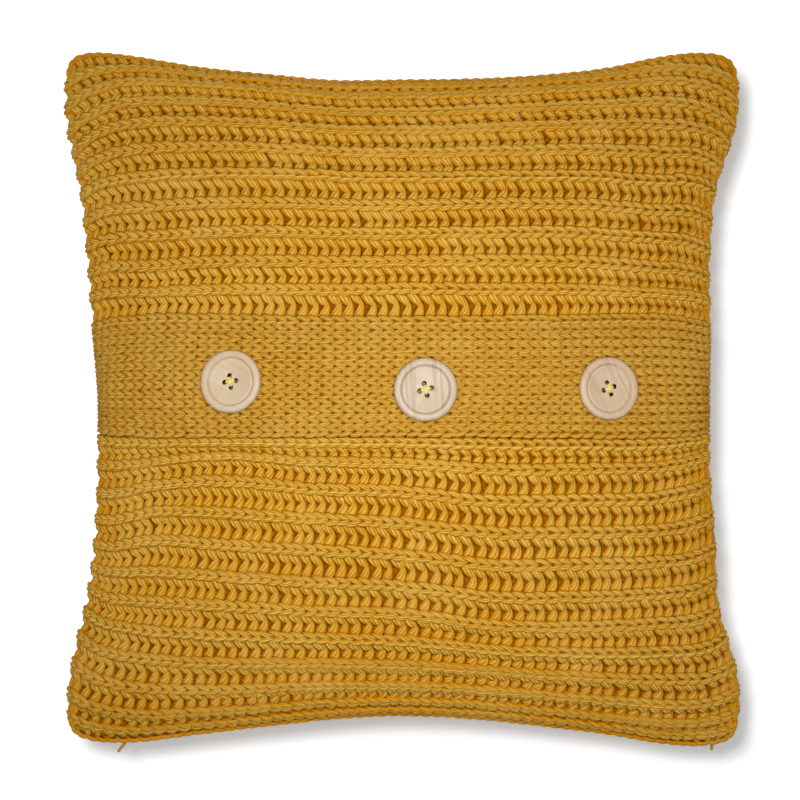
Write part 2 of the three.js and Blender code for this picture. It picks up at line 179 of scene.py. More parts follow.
# Turn of the holes, direction of the grain, its strength and the wood's tone
BUTTONS = {
    "left": {"turn": 8.0, "grain": 62.0, "strength": 0.25, "tone": (0.87, 0.85, 0.80)},
    "middle": {"turn": 14.0, "grain": 4.0, "strength": 1.0, "tone": (0.77, 0.77, 0.75)},
    "right": {"turn": 20.0, "grain": 28.0, "strength": 0.6, "tone": (0.85, 0.80, 0.75)},
}
# Width of a hole at the button's back as a share of its mouth, ease of the mouth, holes, their sides
HOLE_TAPER, HOLE_EASE, HOLES, HOLE_SIDES = 0.6, 0.35 * MM, 4, 24
# Thread, in its own radii: gap to a hole's wall, heights over the dish from the hole to the middle,
# places of the strands side by side, how they fan out, and lifts of the upper bundle and middle strand
THREAD_GAP, THREAD_RISE = 1.1, (-1.2, 0.8, 1.7, 2.1)
THREAD_STRANDS = (-0.75, 0.0, 0.75)
THREAD_FAN = (0.3, 0.5, 0.8, 1.2, 1.4, 1.2, 0.8, 0.5, 0.3)
THREAD_OVER, THREAD_MIDDLE, THREAD_BULGE = 1.5, 0.35, 0.45
THREAD_FOOT, THREAD_BEND, THREAD_SIDES = 0.1 * MM, 0.4 * MM, 8
# Direction that no strand of thread runs in
THREAD_NORMAL = (0.05, 0.03, 1.0)

# Yarn: turns a metre, waves round it, how far noise strays them, that noise's scale round and along
TWIST, PLIES, WOBBLE = 16.0, 8.0, 0.9
FIBRES_AROUND, FIBRES_ALONG = 1.55, 160.0
FUZZ_SCALE, DYE_SCALE, MOTTLE_SCALE = 1500.0, 26.0, 420.0
# Where a ply starts, where a strand faces up, and the rise from hollow to crest: where shade is painted
# between the plies, on the flanks and low in the hollows
PLY_EDGE, UPWARD, HOLLOW_SHADE_RISE = (-0.95, 0.25), (0.40, 1.0), (-5.6 * MM, -1.4 * MM)
# Painted shade: tints of the yarn between the plies, on the flanks and on the flanks in a hollow; and its
# paler dye
PLY_GROOVE_SHADE, FLANK_SHADE, LOW_FLANK_SHADE = (0.74, 0.44, 0.02), (0.95, 0.62, 0.03), (1.08, 0.66, 0.05)
PALER, PALER_BY, DYE_EDGE, DYE_SHARE = 1.08, 0.012, (0.42, 0.72), 0.25
# Shares of the shade colour that the lining is painted with between the strands, and where its mottle
# sets in
LINING_PAINTED_SHADES, MOTTLE_EDGE = (0.35, 0.50), (0.35, 0.65)
# Wood: stretch of each kind of streak, its scale and detail, and the noise over which it sets in
FINE_STREAKS, FINE_EDGE = ((1.0, 0.05, 0.6), 850.0, 3.0), (0.5, 0.72)
WIDE_STREAKS, WIDE_EDGE = ((1.0, 0.045, 0.5), 320.0, 2.0), (0.52, 0.68)
CLOUDS, CLOUD_EDGE = ((1.0, 0.5, 0.5), 90.0, 2.0), (0.4, 0.65)
# Rosy tint of the clouds, share of dark in the soft streaks, and the painted shade in the holes
ROSY, SOFT_STREAK, BORE_PAINTED_SHADE = (0.97, 0.92, 0.88), 0.4, 0.12
# Height in the wood, as a share of its thickness, and place from the middle where the holes' walls are
# painted dark as shade
BORE_HEIGHT, BORE_REACH = (0.58, 0.695), (6.5 * MM, 7.5 * MM)
# Height, as a share of the button's thickness, below which its thread is painted dark as shade, the
# painted shades between its twists and down in the holes, its twist along and round it, and where a twist
# starts
THREAD_SHADE, THREAD_TWIST_SHADE, THREAD_HOLE_SHADE = (0.62, 0.78), 0.72, 0.1
THREAD_TWIST, THREAD_PLIES, THREAD_EDGE = 700.0, 2.0, (-0.9, 0.3)

# Where the floor's glow fades out under the cushion, as a painted shadow, and its strength beyond
SHADOW_UNDER_CUSHION, FLOOR_GLOW = (0.10, 0.205), 0.38
FLOOR_SHADES, FLOOR_TINT = ((0.87, 0.885, 0.90), (0.88, 0.895, 0.91)), (0.95, 0.98, 1.0, 1.0)
# Place, size and spread of each soft box, and whether the floor is left out or alone lit by it
LIGHTS = {
    "key": ((0.3, 0.36, 2.2), 0.7, 180.0, "EXCLUDE"),
    "top": ((0.0, 0.0, 1.35), 0.4, 52.0, "EXCLUDE"),
    "floor_light": ((-0.31, 0.335, 2.2), 0.42, 180.0, "INCLUDE"),
}
SENSOR, FAR_CLIP = 36.0, 30.0
# Cloth simulation of the filling
CLOTH_FRAMES, CLOTH_QUALITY, CLOTH_MASS = 20, 4, 0.3


def a_number(name, text, default, **more):
    """Number that a user may change."""
    return bpy.props.FloatProperty(name=name, description=text, default=default, **more)


def a_length(name, text, default):
    """Size in metres."""
    return a_number(name, text, default, unit="LENGTH")


def a_power(name, text, default):
    """Power of a light in watts."""
    return a_number(name, text, default, unit="POWER")


def a_count(name, text, default):
    """Whole number."""
    return bpy.props.IntProperty(name=name, description=text, default=default)


def a_colour(name, text, default):
    """Colour as three linear shares."""
    return bpy.props.FloatVectorProperty(
        name=name, description=text, default=default, size=3, subtype="COLOR")


class CoverSizes(bpy.types.PropertyGroup):
    """Sizes of the filled cover."""

    half_width: a_length("Half width", "Middle to side seam at the corners", 0.222)
    half_height: a_length("Half height", "Middle to fold at the corners", 0.228)
    front_crown: a_length("Front crown", "Rise of the buttoned front", 0.062)
    back_crown: a_length("Back crown", "Drop of the back to the floor", 0.051)
    edge_roll: a_length("Edge roll", "Roundness of seams and folds", 0.006)
    yarn_depth: a_length("Yarn depth", "How far the filling lies under the ribs", 0.0044)
    hollow_depth: a_length("Hollow depth", "How much deeper it lies between the ribs", 0.0036)
    edge_depth: a_length("Edge depth", "How far the filling lies inside the seams and folds", 0.002)
    pressure: a_number("Pressure", "Pressure of the filling in the cloth simulation", 4.0)
    most_swell: a_length("Most swell", "Furthest that the filling may push", 0.0012)
    columns: a_count("Columns", "Faces of the filling from seam to seam", 60)
    rows: a_count("Rows", "Faces of the filling from fold to fold", 208)


class YarnSizes(bpy.types.PropertyGroup):
    """Sizes and colours of the yarn and its stitches."""

    courses: a_count("Courses", "Stitches from side seam to side seam", 60)
    radius: a_length("Yarn radius", "Half the thickness of the yarn", 0.00168)
    rib_width: a_number("Rib width", "Width of a rib as a share of the half height", 0.025)
    sides: a_count("Sides", "Sides of a strand", 6)
    steps: a_count("Steps", "Steps between two points of a stitch", 2)
    unevenness: a_number("Unevenness", "How far stitches stray, in courses", 0.045)
    colour: a_colour("Yarn colour", "Mustard of the yarn", (0.545, 0.340, 0.056))
    # Painted shade: the band's yarn is the same yarn, a shade darker than the ribs'
    band_shade: a_number("Band tone", "Tone of the plain-knit band against the ribs", 0.91)
    # Painted shade: the colour that yarn low in the hollows takes
    hollow_shade_colour: a_colour("Hollow colour", "Yarn low in the hollows", (0.455, 0.250, 0.010))
    # Painted shade: the dark colour of the lining that shows between the strands
    deep_shade_colour: a_colour("Deep colour", "What shows between the strands", (0.56, 0.17, 0.0005))


class ButtonSizes(bpy.types.PropertyGroup):
    """Sizes and colours of the buttons and their thread."""

    radius: a_length("Radius", "Radius of a button", 0.020)
    thickness: a_length("Thickness", "Thickness of a button", 0.005)
    sides: a_count("Sides", "Steps round a button", 96)
    hole_radius: a_length("Hole radius", "Radius of a hole", 0.0015)
    hole_circle: a_length("Hole circle", "Middle of the button to a hole", 0.0038)
    thread_radius: a_length("Thread radius", "Half the thickness of the sewing thread", 0.00045)
    wood: a_colour("Wood", "Pale wood", (0.55, 0.435, 0.315))
    wood_dark: a_colour("Wood streaks", "Darker grain", (0.36, 0.25, 0.15))
    thread: a_colour("Thread", "Sewing thread", (0.80, 0.62, 0.10))


class StageSizes(bpy.types.PropertyGroup):
    """Camera, floor and lights."""

    camera_height: a_length("Camera height", "Camera above the seams", 1.9)
    picture_width: a_length("Picture width", "Width seen at the height of the seams", 0.5216)
    aim_x: a_length("Aim across", "Middle of the picture", -0.0013)
    aim_y: a_length("Aim up", "Middle of the picture", -0.00064)
    floor_size: a_length("Floor", "Half the side of the floor", 6.0)
    sky: a_number("Fill light", "Even light from all round", 0.135)
    key: a_power("Key light", "Power of the soft box to one side", 11.5)
    top: a_power("Top light", "Power of the soft box straight above", 1.85)
    floor_light: a_power("Floor light", "Power of the soft box that lights the floor alone", 36.0)


# Surfaces

def smooth_step(value, low, high):
    """0 below low, 1 above high, and t*t*(3 - 2t) between them."""
    t = np.clip((value - low) / (high - low), 0.0, 1.0)
    return t * t * (3.0 - 2.0 * t)


def cubic(table, at):
    """Smooth curve through a table's values at even stations from -1 to 1 along its first axis: cubic
    pieces whose slope at a station is half the difference of its neighbours."""
    last = len(table) - 1
    place = np.clip((np.asarray(at, float) + 1.0) / 2.0 * last, 0.0, last)
    start = np.minimum(place.astype(int), last - 1)
    t = place - start
    before, low, high, after = (
        np.take_along_axis(table, np.clip(start + step, 0, last)[None], 0)[0] for step in (-1, 0, 1, 2))
    blend = t * t * (3.0 - 2.0 * t)
    bends = (high - before) / 2.0 * t * (1.0 - t) ** 2 + (after - low) / 2.0 * t * t * (t - 1.0)
    return low * (1.0 - blend) + high * blend + bends


def read_table(values, at):
    """Smooth curve through a row of values, read at each place."""
    row = np.asarray(values, float).reshape((-1,) + (1,) * np.ndim(at))
    return cubic(np.broadcast_to(row, (len(row),) + np.shape(at)), at)


def read_sheet(lines, u, v):
    """Smooth surface through lines of values: each line is read at u, then those readings at v."""
    return cubic(np.stack([read_table(line, u) for line in lines]), v)


def spread(place, other, amount, power, fade):
    """Even rows or courses opened over the crown and closed up at the edge: place times
    1 + s - s * |place|^power, where s fades out towards the other edge."""
    share = amount * (1.0 - np.abs(other) ** fade)
    return place * (1.0 + share - share * np.abs(place) ** power)


def plan(cover, u, v):
    """Square of u and v with drawn-in edges and rounded corners: each place is scaled to the half size
    less what the edge beside it is drawn in."""
    across = spread(u, v, *COURSE_SPREAD)
    up = np.where(v < 0, spread(v, u, *BOTTOM_SPREAD), spread(v, u, *TOP_SPREAD))
    round_x = 1.0 - CORNER_INSET * across ** 2 * np.abs(up) ** CORNER_POWER
    round_y = 1.0 - CORNER_INSET * up ** 2 * np.abs(across) ** CORNER_POWER
    left, right = (read_table(DRAWN_IN[side], up) for side in ("left", "right"))
    bottom, top = (read_table(DRAWN_IN[side], across) for side in ("bottom", "top"))
    width = cover.half_width - MM * np.where(u < 0, left, right)
    height = cover.half_height - MM * np.where(v < 0, bottom, top)
    return across, up, across * width * round_x, up * height * round_y


def dome(place, power, fullness):
    """Rise from 0 at both edges to 1 in the middle: (1 - |place|^power)^fullness."""
    return np.maximum(0.0, 1.0 - np.abs(place) ** power) ** fullness


def crown_share(across, up):
    """Share of the full crown: one dome across the seams times one across the folds."""
    return dome(across, *SIDE_CROWN) * dome(up, *FOLD_CROWN)


def roll_share(across, up):
    """Share of the edge's roundness: rises steeply from the seams and folds, then stays full."""
    return np.sqrt(dome(across, EDGE_ROLL_POWER, 1.0) * dome(up, EDGE_ROLL_POWER, 1.0))


def seam_height(cover):
    """Height of the side seams and folds."""
    return cover.back_crown + cover.edge_roll


def centred(x, y, z):
    """Points moved by the little that centres the cushion's box."""
    return np.stack([x + CENTRING[0], y + CENTRING[1], z], -1)


def row_shift(cover, u, v):
    """Step of v by which the front's rows lie above level, beyond the band."""
    beyond = np.where(v < 0, smooth_step(-v, *SHIFT_BELOW_BAND), smooth_step(v, *SHIFT_ABOVE_BAND))
    return MM * beyond * read_sheet(ROW_SHIFT, u, v) / cover.half_height


def front_surface(cover, u, v):
    """Crest level of the front: seam height plus crown plus edge roll, over its shifted rows."""
    across, up, x, y = plan(cover, u, v + row_shift(cover, u, v))
    rise = cover.front_crown * crown_share(across, up) + cover.edge_roll * roll_share(across, up)
    return centred(x, y, seam_height(cover) + rise)


def back_surface(cover, u, v):
    """Crest level of the back: the crown flattened by 1 - (1 - share)^flatness and pressed on the floor,
    over level rows that bend to meet the front's at the seams."""
    bend = smooth_step(np.abs(u), BACK_BEND, 1.0)
    across, up, x, y = plan(cover, u, v + bend * row_shift(cover, np.sign(u), v))
    pressed = BACK_PRESS * (1.0 - (1.0 - crown_share(across, up)) ** BACK_FLATNESS)
    drop = cover.back_crown * pressed + cover.edge_roll * roll_share(across, up)
    return centred(x, y, np.maximum(seam_height(cover) - drop, 0.0))


SHEETS = {"front": (front_surface, 1.0), "back": (back_surface, -1.0)}


def unit(vectors):
    """Vectors of length one."""
    return vectors / np.maximum(np.linalg.norm(vectors, axis=-1, keepdims=True), 1e-12)


def run_along(points):
    """Length of a line of points up to each of them."""
    steps = np.linalg.norm(np.diff(points, axis=-2), axis=-1)
    return np.concatenate([np.zeros(steps.shape[:-1] + (1,)), np.cumsum(steps, axis=-1)], axis=-1)


def outward(cover, sheet, u, v):
    """Outward direction of a sheet: cross product of its slopes across and up."""
    surface, facing = SHEETS[sheet]
    low_u, high_u = np.maximum(u - SLOPE_STEP, -1.0), np.minimum(u + SLOPE_STEP, 1.0)
    low_v, high_v = np.maximum(v - SLOPE_STEP, -1.0), np.minimum(v + SLOPE_STEP, 1.0)
    across = surface(cover, high_u, v) - surface(cover, low_u, v)
    up = surface(cover, u, high_v) - surface(cover, u, low_v)
    return facing * unit(np.cross(across, up))


def course_place(cover, t):
    """Place u of even steps t along a row, read backwards off its length so far. Past a start beside
    the seams the steps near a limit by 1 - exp(-x)."""
    beyond = np.maximum(np.abs(t) - SEAM_START, 0.0)
    near = SEAM_ROOM * (1.0 - np.exp(-beyond / SEAM_ROOM))
    within = np.sign(t) * (np.minimum(np.abs(t), SEAM_START) + near)
    u = np.linspace(-1.0, 1.0, COURSE_STATIONS)
    gone = run_along(front_surface(cover, u, np.full_like(u, COURSE_ROW)))
    return np.interp(within, 2.0 * gone / gone[-1] - 1.0, u)


def room_at(cover, points):
    """Depth that the cover has for its knit at points: half their rise over the seams and folds, from a
    little at the edge."""
    return 0.5 * np.abs(points[..., 2] - seam_height(cover)) + cover.edge_depth


def band_seat(u, v):
    """Level of the cover under the band, falling from its free edge to the last rib above it and to the
    seams that its ends are sewn into."""
    share = np.clip((v - BAND_BOTTOM) / (BAND_TOP - BAND_BOTTOM), 0.0, 1.0)
    full = 1.0 - smooth_step(share, 1.0 - BAND_SEAT_RISE, 1.0)
    full = full * (1.0 - smooth_step(np.abs(u), *BAND_END_FALL))
    return BAND_SEAT[0] + (BAND_SEAT[1] - BAND_SEAT[0]) * full


# Meshes

def points_of(mesh):
    """Array of a mesh's points."""
    points = np.zeros(len(mesh.vertices) * 3)
    mesh.vertices.foreach_get("co", points)
    return points.reshape(-1, 3)


def cells_of(grid):
    """Faces between neighbouring rows and columns of a grid of points' numbers."""
    corners = grid[..., :-1, :-1], grid[..., :-1, 1:], grid[..., 1:, 1:], grid[..., 1:, :-1]
    return np.stack(corners, -1).reshape(-1, 4)


def closed(grid):
    """Grid whose first column stands again after its last."""
    return np.concatenate([grid, grid[..., :1]], -1)


def add_object(name, points, faces, material, uvs=None, rise=None):
    """Mesh object at the origin from arrays of points and faces, smooth, with an optional uv map and
    each point's rise over the crest level."""
    mesh = bpy.data.meshes.new(name)
    corners = faces.tolist() if isinstance(faces, np.ndarray) else faces
    mesh.from_pydata(np.asarray(points, float).reshape(-1, 3).tolist(), [], corners)
    if uvs is not None:
        layer = mesh.uv_layers.new(name="yarn")
        layer.data.foreach_set("uv", np.asarray(uvs, np.float32).ravel())
    if rise is not None:
        stored = mesh.attributes.new("rise", "FLOAT", "POINT")
        stored.data.foreach_set("value", np.asarray(rise, np.float32).ravel())
    mesh.update(calc_edges=True)
    mesh.shade_smooth()
    mesh.materials.append(material)
    piece = bpy.data.objects.new(name, mesh)
    bpy.context.scene.collection.objects.link(piece)
    return piece


def smooth_path(points, steps):
    """Curve through points along axis 1: cubic pieces with steps parts between two points."""
    first = 2.0 * points[:, :1] - points[:, 1:2]
    last = 2.0 * points[:, -1:] - points[:, -2:-1]
    wide = np.concatenate([first, points, last], axis=1)[:, :, None, :]
    p0, p1, p2, p3 = wide[:, :-3], wide[:, 1:-2], wide[:, 2:-1], wide[:, 3:]
    t = (np.arange(steps) / steps)[None, None, :, None]
    curve = 0.5 * (2.0 * p1 + (p2 - p0) * t + (2.0 * p0 - 5.0 * p1 + 4.0 * p2 - p3) * t ** 2
                   + (3.0 * p1 - p0 - 3.0 * p2 + p3) * t ** 3)
    return np.concatenate([curve.reshape(len(points), -1, points.shape[2]), points[:, -1:]], axis=1)


def tubes(paths, normals, radii, sides, wide=1.0, tall=1.0):
    """Strands along paths: at each station a ring of points, radius times cosine sideways plus radius
    times sine along the normal made square to the path. Both ends are closed by faces. The uv map has
    the length along a strand and the share of a turn round it."""
    count, stations = paths.shape[:2]
    along = unit(np.gradient(paths, axis=1))
    sideways = unit(np.cross(along, normals))
    up = np.cross(sideways, along)
    angle = TURN * np.arange(sides) / sides
    ring = (sideways[:, :, None] * wide * np.cos(angle)[:, None]
            + up[:, :, None] * tall * np.sin(angle)[:, None])
    points = paths[:, :, None] + ring * radii[:, :, None, None]
    index = np.arange(count * stations * sides).reshape(count, stations, sides)
    faces = cells_of(closed(index))[:, OTHER_WAY]
    fan = np.arange(1, sides - 1, 2)
    corners = np.stack([0 * fan, fan, fan + 1, (fan + 2) % sides], -1)
    caps = np.concatenate([index[:, end][:, part].reshape(-1, 4)
                           for end, part in ((0, corners), (-1, corners[:, ::-1]))])
    gone = run_along(paths)[..., None]
    low, high, near = np.broadcast_arrays(gone[:, :-1], gone[:, 1:], np.arange(sides) / sides)
    far = near + 1.0 / sides
    around = np.stack([low, near, high, near, high, far, low, far], -1).reshape(-1, 4, 2)
    return points, np.concatenate([faces, caps]), np.concatenate([around, np.zeros((len(caps), 4, 2))])


def ring_rise(depth, radii, sides):
    """Rise of each ring's points over the crest level: depth plus radius times sine."""
    return depth[..., None] + radii[..., None] * np.sin(TURN * np.arange(sides) / sides)


# Materials

def put(socket, value):
    """Links a node's input to another node's output, or sets its value."""
    if isinstance(value, bpy.types.NodeSocket):
        socket.id_data.links.new(value, socket)
    else:
        socket.default_value = value


def tint(shade, shares):
    """Colour times one share, or times a share for each of its parts."""
    return tuple(float(part) for part in np.multiply(tuple(shade), shares))


class Finish:
    """Node material, built up node by node in front of its shader."""

    def __init__(self, name):
        self.material = bpy.data.materials.new(name)
        self.material.use_nodes = True
        self.nodes = self.material.node_tree.nodes
        self.nodes.clear()
        self.shader = self.nodes.new("ShaderNodeBsdfPrincipled")
        put(self.nodes.new("ShaderNodeOutputMaterial").inputs["Surface"], self.shader.outputs["BSDF"])

    def node(self, kind, output, inputs=(), **settings):
        """Output of a new node, with its settings made and its inputs filled by name or number."""
        node = self.nodes.new(f"ShaderNode{kind}")
        for name, value in settings.items():
            setattr(node, name, value)
        for socket, value in dict(inputs).items():
            put(node.inputs[socket], value)
        return node.outputs[output]

    def place(self):
        """Object coordinates."""
        return self.node("TexCoord", "Object")

    def stored(self, name, output):
        """Attribute of the mesh."""
        return self.node("Attribute", output, attribute_name=name)

    def split(self, vector):
        """The three parts of a vector."""
        return tuple(self.node("SeparateXYZ", part, {0: vector}) for part in "XYZ")

    def strand(self):
        """Length along a strand and share of a turn round it."""
        return self.split(self.node("UVMap", "UV", uv_map="yarn"))[:2]

    def calc(self, operation, *values):
        """Math node on values, each a socket or a number."""
        return self.node("Math", 0, enumerate(values), operation=operation)

    def times(self, first, second):
        """Product of two values."""
        return self.calc("MULTIPLY", first, second)

    def plus(self, first, second):
        """Sum of two values."""
        return self.calc("ADD", first, second)

    def noise(self, vector, scale, detail):
        """Noise on a vector."""
        return self.node("TexNoise", "Fac", {"Vector": vector, "Scale": scale, "Detail": detail})

    def mix(self, share, first, second):
        """Mix of two colours, each a socket or three numbers."""
        first, second = ((*c, 1.0) if isinstance(c, tuple) else c for c in (first, second))
        return self.node("Mix", 2, {"Factor": share, 6: first, 7: second}, data_type="RGBA")

    def ramp(self, value, low, high):
        """Value from low to high taken to 0 to 1, smoothly, and held there."""
        return self.node("MapRange", "Result", {"Value": value, "From Min": low, "From Max": high},
                         interpolation_type="SMOOTHSTEP")

    def bump(self, height, distance, strength, below=()):
        """Bump from a height, over the bump below it."""
        return self.node("Bump", "Normal", {
            "Height": height, "Distance": distance, "Strength": strength, **dict(below)})

    def done(self, values):
        """Fills the shader's sockets by name and gives the material."""
        for name, value in values.items():
            put(self.shader.inputs[name], value)
        return self.material


def yarn_material(yarn, name, tone):
    """Spun yarn: plies are sine waves of the turn round the strand, slowly wound along it and strayed by
    noise. Shade is painted into its colour between the plies, on the flanks and the lower it lies, and it
    has an uneven dye."""
    finish = Finish(name)
    place = finish.place()
    along, around = finish.strand()
    angle = finish.times(finish.plus(around, finish.times(along, TWIST)), TURN)
    round_yarn = finish.node("CombineXYZ", 0, {
        "X": finish.times(finish.calc("COSINE", angle), FIBRES_AROUND),
        "Y": finish.times(finish.calc("SINE", angle), FIBRES_AROUND),
        "Z": finish.times(along, FIBRES_ALONG)})
    fibre = finish.noise(round_yarn, 1.0, 3.0)
    wound = finish.plus(finish.times(angle, PLIES), finish.times(fibre, TURN * WOBBLE))
    ply = finish.ramp(finish.calc("SINE", wound), *PLY_EDGE)
    facing = finish.ramp(finish.calc("SINE", finish.times(around, TURN)), *UPWARD)
    # Painted shade: the hollow colour for yarn low in the hollows, and darker tints between the plies and
    # on the flanks that face away from up
    bright, hollow = (tint(dye, tone) for dye in (yarn.colour, yarn.hollow_shade_colour))
    crest = finish.mix(ply, tint(bright, PLY_GROOVE_SHADE), bright)
    body = finish.mix(facing, tint(bright, FLANK_SHADE), crest)
    low = finish.mix(facing, tint(hollow, LOW_FLANK_SHADE), hollow)
    # The lower the yarn lies below the crest, the more it is painted in the shaded hollow colour
    light = finish.mix(finish.ramp(finish.stored("rise", "Fac"), *HOLLOW_SHADE_RISE), low, body)
    dye = finish.times(finish.ramp(finish.noise(place, DYE_SCALE, 3.0), *DYE_EDGE), DYE_SHARE)
    paler = tuple(part * PALER + PALER_BY for part in bright)
    fuzz = finish.bump(finish.noise(place, FUZZ_SCALE, 3.0), 0.4 * MM, 0.5)
    return finish.done({
        "Base Color": finish.mix(dye, light, paler),
        "Normal": finish.bump(ply, 0.5 * MM, 0.7, {"Normal": fuzz}),
        "Roughness": 0.65, "Specular IOR Level": 0.02})


def lining_material(yarn):
    """The cover's inner face between the strands: the yarn's colour darkened as painted shade, with a
    fine mottle.
    """
    finish = Finish("deep_knit")
    mottle = finish.noise(finish.place(), MOTTLE_SCALE, 3.0)
    darker, shaded = (tint(yarn.deep_shade_colour, share) for share in LINING_PAINTED_SHADES)
    return finish.done({
        "Base Color": finish.mix(finish.ramp(mottle, *MOTTLE_EDGE), darker, shaded),
        "Normal": finish.bump(mottle, MM, 0.6), "Roughness": 0.95, "Specular IOR Level": 0.0})


def wood_material(name, sizes, strength, tone):
    """Pale turned wood: streaks are noise drawn out along the grain stored on the mesh, and the holes'
    walls are painted dark as shade."""
    finish = Finish(name)
    grain = finish.stored("grain", "Vector")

    def streaks(stretch, scale, detail):
        """Noise drawn out along the grain."""
        drawn = finish.node("Mapping", "Vector", {"Vector": grain, "Scale": stretch})
        return finish.noise(drawn, scale, detail)

    fine, wide, cloud = (streaks(*kind) for kind in (FINE_STREAKS, WIDE_STREAKS, CLOUDS))
    pale, dark = (tint(wood, tone) for wood in (sizes.wood, sizes.wood_dark))
    soft = tuple((1.0 - SOFT_STREAK) * p + SOFT_STREAK * d for p, d in zip(pale, dark))
    base = finish.mix(finish.ramp(cloud, *CLOUD_EDGE), pale, tint(pale, ROSY))
    grained = finish.mix(finish.times(finish.ramp(fine, *FINE_EDGE), 0.35 + 0.5 * strength), base, soft)
    streaked = finish.mix(finish.times(finish.ramp(wide, *WIDE_EDGE), 0.5 * strength), grained, dark)
    x, y, z = finish.split(grain)
    away = finish.calc("SQRT", finish.plus(finish.times(x, x), finish.times(y, y)))
    low, high = (share * sizes.thickness for share in BORE_HEIGHT)
    # Painted shade: wood low down in the holes near the middle is darkened
    unshaded_wood = finish.calc("MAXIMUM", finish.ramp(z, low, high), finish.ramp(away, *BORE_REACH))
    return finish.done({
        "Base Color": finish.mix(unshaded_wood, tint(dark, BORE_PAINTED_SHADE), streaked),
        "Normal": finish.bump(fine, 0.2 * MM, 0.25 + 0.2 * strength),
        "Roughness": 0.5, "Specular IOR Level": 0.35})


def thread_material(sizes):
    """Twisted sewing thread: a sine wave wound round it, with painted shade between its twists and where
    it goes down into the holes.
    """
    finish = Finish("yellow_thread")
    along, around = finish.strand()
    wound = finish.plus(finish.times(along, THREAD_TWIST), finish.times(around, THREAD_PLIES))
    wave = finish.calc("SINE", finish.times(wound, TURN))
    pale = tuple(sizes.thread)
    # Painted shade between the thread's twists
    twisted = finish.mix(finish.ramp(wave, *THREAD_EDGE), tint(pale, THREAD_TWIST_SHADE), pale)
    # Painted shade where the thread goes down into the holes
    low, high = (share * sizes.thickness for share in THREAD_SHADE)
    above = finish.ramp(finish.stored("rise", "Fac"), low, high)
    return finish.done({
        "Base Color": finish.mix(above, tint(pale, THREAD_HOLE_SHADE), twisted),
        "Normal": finish.bump(wave, 0.2 * MM, 0.5), "Roughness": 0.6, "Sheen Weight": 0.3})


def floor_material():
    """Pale matt floor with a barely seen mottle. It glows a little, less and less under the cushion, by
    the fourth root of x^4 + y^4, which paints a shadow there."""
    finish = Finish("pale_floor")
    place = finish.place()
    x, y = (finish.calc("POWER", finish.calc("ABSOLUTE", part), 4.0)
            for part in finish.split(place)[:2])
    away = finish.calc("POWER", finish.plus(x, y), 0.25)
    return finish.done({
        "Base Color": finish.mix(finish.noise(place, 3.0, 2.0), *FLOOR_SHADES),
        "Emission Color": FLOOR_TINT,
        # Painted shadow: less glow under the cushion
        "Emission Strength": finish.times(finish.ramp(away, *SHADOW_UNDER_CUSHION), FLOOR_GLOW),
        "Roughness": 1.0, "Specular IOR Level": 0.0})


# Filling

def rib_share(v, rows):
    """1 under a rib and 0 in the hollow between two: a smooth step of the distance to the next rib."""
    away = np.abs(v[..., None] - np.array(rows)).min(-1)
    return 1.0 - smooth_step(away, *FILLING_RIB)


def filling_form(cover):
    """Front and back grids that share seams and folds: the crest form moved inwards by the yarn's depth
    and further between the ribs, and the faces between them."""
    u, v = np.meshgrid(*(np.sin(np.linspace(-1.0, 1.0, cells + 1) * math.pi / 2.0)
                         for cells in (cover.columns, cover.rows)))
    grids = []
    for sheet, rows in (("front", FRONT_ROWS), ("back", BACK_ROWS)):
        form = SHEETS[sheet][0](cover, u, v)
        sunk = np.minimum(cover.yarn_depth + cover.hollow_depth * (1.0 - rib_share(v, rows)),
                          room_at(cover, form))
        grids.append(form - outward(cover, sheet, u, v) * sunk[..., None])
    count = u.size
    index = np.arange(count).reshape(u.shape)
    edge = (np.abs(u) == 1.0) | (np.abs(v) == 1.0)
    behind = np.where(edge, index, 0)
    behind[~edge] = count + np.arange((~edge).sum())
    points = np.concatenate([grids[0].reshape(-1, 3), grids[1][~edge]])
    return points, np.concatenate([cells_of(index), cells_of(behind)[:, ::-1]])


def swell(piece, cover):
    """Cloth simulation of the filling's pressure. The push is capped, smoothly, at most_swell times
    d / (1 + d) of its own size d, and written to the mesh."""
    mesh = piece.data
    start = points_of(mesh)
    modifier = piece.modifiers.new("filling", "CLOTH")
    cloth = modifier.settings
    cloth.quality = CLOTH_QUALITY
    cloth.mass = CLOTH_MASS
    cloth.use_pressure = True
    cloth.uniform_pressure_force = cover.pressure
    cloth.effector_weights.gravity = 0.0
    modifier.collision_settings.use_self_collision = False
    scene = bpy.context.scene
    for moment in range(1, CLOTH_FRAMES + 1):
        scene.frame_set(moment)
    swollen = piece.evaluated_get(bpy.context.evaluated_depsgraph_get()).to_mesh()
    push = points_of(swollen) - start
    piece.modifiers.remove(modifier)
    scene.frame_set(1)
    size = np.linalg.norm(push, axis=1, keepdims=True) / cover.most_swell
    points = start + np.nan_to_num(push) / (1.0 + np.nan_to_num(size))
    points[:, 2] = np.maximum(points[:, 2], cover.yarn_depth * 0.5)
    mesh.vertices.foreach_set("co", points.ravel())
    mesh.update()


class CUSHION_OT_filling(bpy.types.Operator):
    """Makes the filled inner cushion and swells it with a cloth simulation"""

    bl_idname = "cushion.filling"
    bl_label = "Filling"

    def execute(self, context):
        cover = context.scene.cushion_cover
        points, faces = filling_form(cover)
        # The filling's lining is painted dark as the shade between the strands
        piece = add_object("filled_lining", points, faces, lining_material(context.scene.cushion_yarn))
        swell(piece, cover)
        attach(piece, "root")
        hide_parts("cushion_body")
        return {"FINISHED"}


# Knit

def whole_loop(stitch):
    """A stitch's half loop down to its head, then its mirror image."""
    half = np.array(stitch, float)
    return np.concatenate([half, half[-2::-1] * MIRROR])


